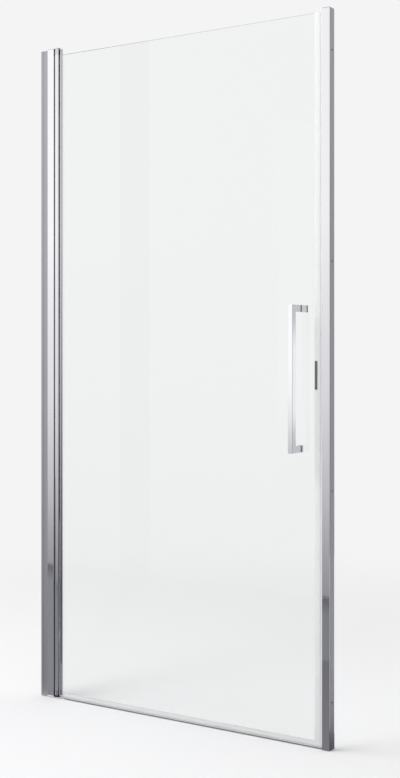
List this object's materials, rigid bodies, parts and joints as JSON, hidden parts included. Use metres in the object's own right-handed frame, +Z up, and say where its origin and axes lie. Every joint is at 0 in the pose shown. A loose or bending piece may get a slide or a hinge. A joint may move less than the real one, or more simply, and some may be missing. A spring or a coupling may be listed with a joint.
{
  "type": "pivot shower door",
  "caption": "Glass shower door for a niche, turning on a round pivot column between wall profiles, with a square bow handle, magnetic closing seals and a low threshold bar.",
  "frame": {"origin": "on the tray, under the middle of the opening between the two walls, in the glass's mid plane", "axes": "+X from the hinge side to the closing side, +Y from the room into the shower, +Z up"},
  "size_m": [0.972, 0.0883, 1.946],
  "materials": {
    "satin_aluminium": "satin anodised",
    "bright_aluminium": "bright polished and anodised, mirror-like",
    "polished_steel": "polished stainless plate",
    "chromed_zinc": "chromed die casting",
    "chromed_brass": "chromed, mirror-like",
    "stainless_steel": "turned",
    "grey_plastic": "moulded, matt",
    "black_acetal": "moulded, matt",
    "white_acetal": "moulded, matt",
    "dark_rubber": "extruded",
    "grey_rubber": "extruded",
    "tempered_glass": "clear float, polished edges",
    "clear_pvc": "extruded, translucent",
    "magnet_strip": "flexible magnet, pale",
    "dark_plate": "satin, blank"
  },
  "bodies": {
    "frame": {"hinge_wall_channel": "satin_aluminium", "hinge_channel_cap": "grey_plastic", "hinge_post": "bright_aluminium", "post_clamp_screws": "stainless_steel", "post_screw_caps": "grey_plastic", "top_pivot_bracket": "polished_steel", "bottom_pivot_bracket": "polished_steel", "bracket_screws": "stainless_steel", "top_pivot_pin": "stainless_steel", "bottom_pivot_pin": "stainless_steel", "hinge_gap_seal": "dark_rubber", "threshold_bar": "satin_aluminium", "strike_wall_channel": "satin_aluminium", "strike_post": "bright_aluminium", "strike_clamp_screws": "stainless_steel", "strike_screw_caps": "grey_plastic", "strike_post_cap": "grey_plastic", "strike_seal_carrier": "clear_pvc", "strike_magnet_strip": "magnet_strip"},
    "door": {"pivot_column": "bright_aluminium", "glass_clamp_strip": "bright_aluminium", "clamp_strip_screws": "stainless_steel", "glass_gasket": "grey_rubber", "top_column_cap": "chromed_zinc", "bottom_column_cap": "chromed_zinc", "column_cap_screws": "stainless_steel", "top_pivot_bush": "white_acetal", "bottom_pivot_bush": "black_acetal", "glass_panel": "tempered_glass", "bottom_seal": "clear_pvc", "edge_seal_carrier": "clear_pvc", "edge_magnet_strip": "magnet_strip", "edge_plate": "dark_plate", "handle_bow": "chromed_brass", "handle_studs": "stainless_steel", "stud_sleeves": "clear_pvc", "handle_outer_washers": "dark_rubber", "handle_inner_washers": "dark_rubber", "inner_knob": "chromed_brass", "inner_knob_cap": "black_acetal", "lower_rose": "chromed_brass"}
  },
  "joints": [
    {"name": "door_swing", "type": "hinge", "parent": "frame", "child": "door", "pos_m": [-0.42645, -0.0056, 0.973], "axis": [0, 0, -1], "range_deg": [0, 100]}
  ]
}
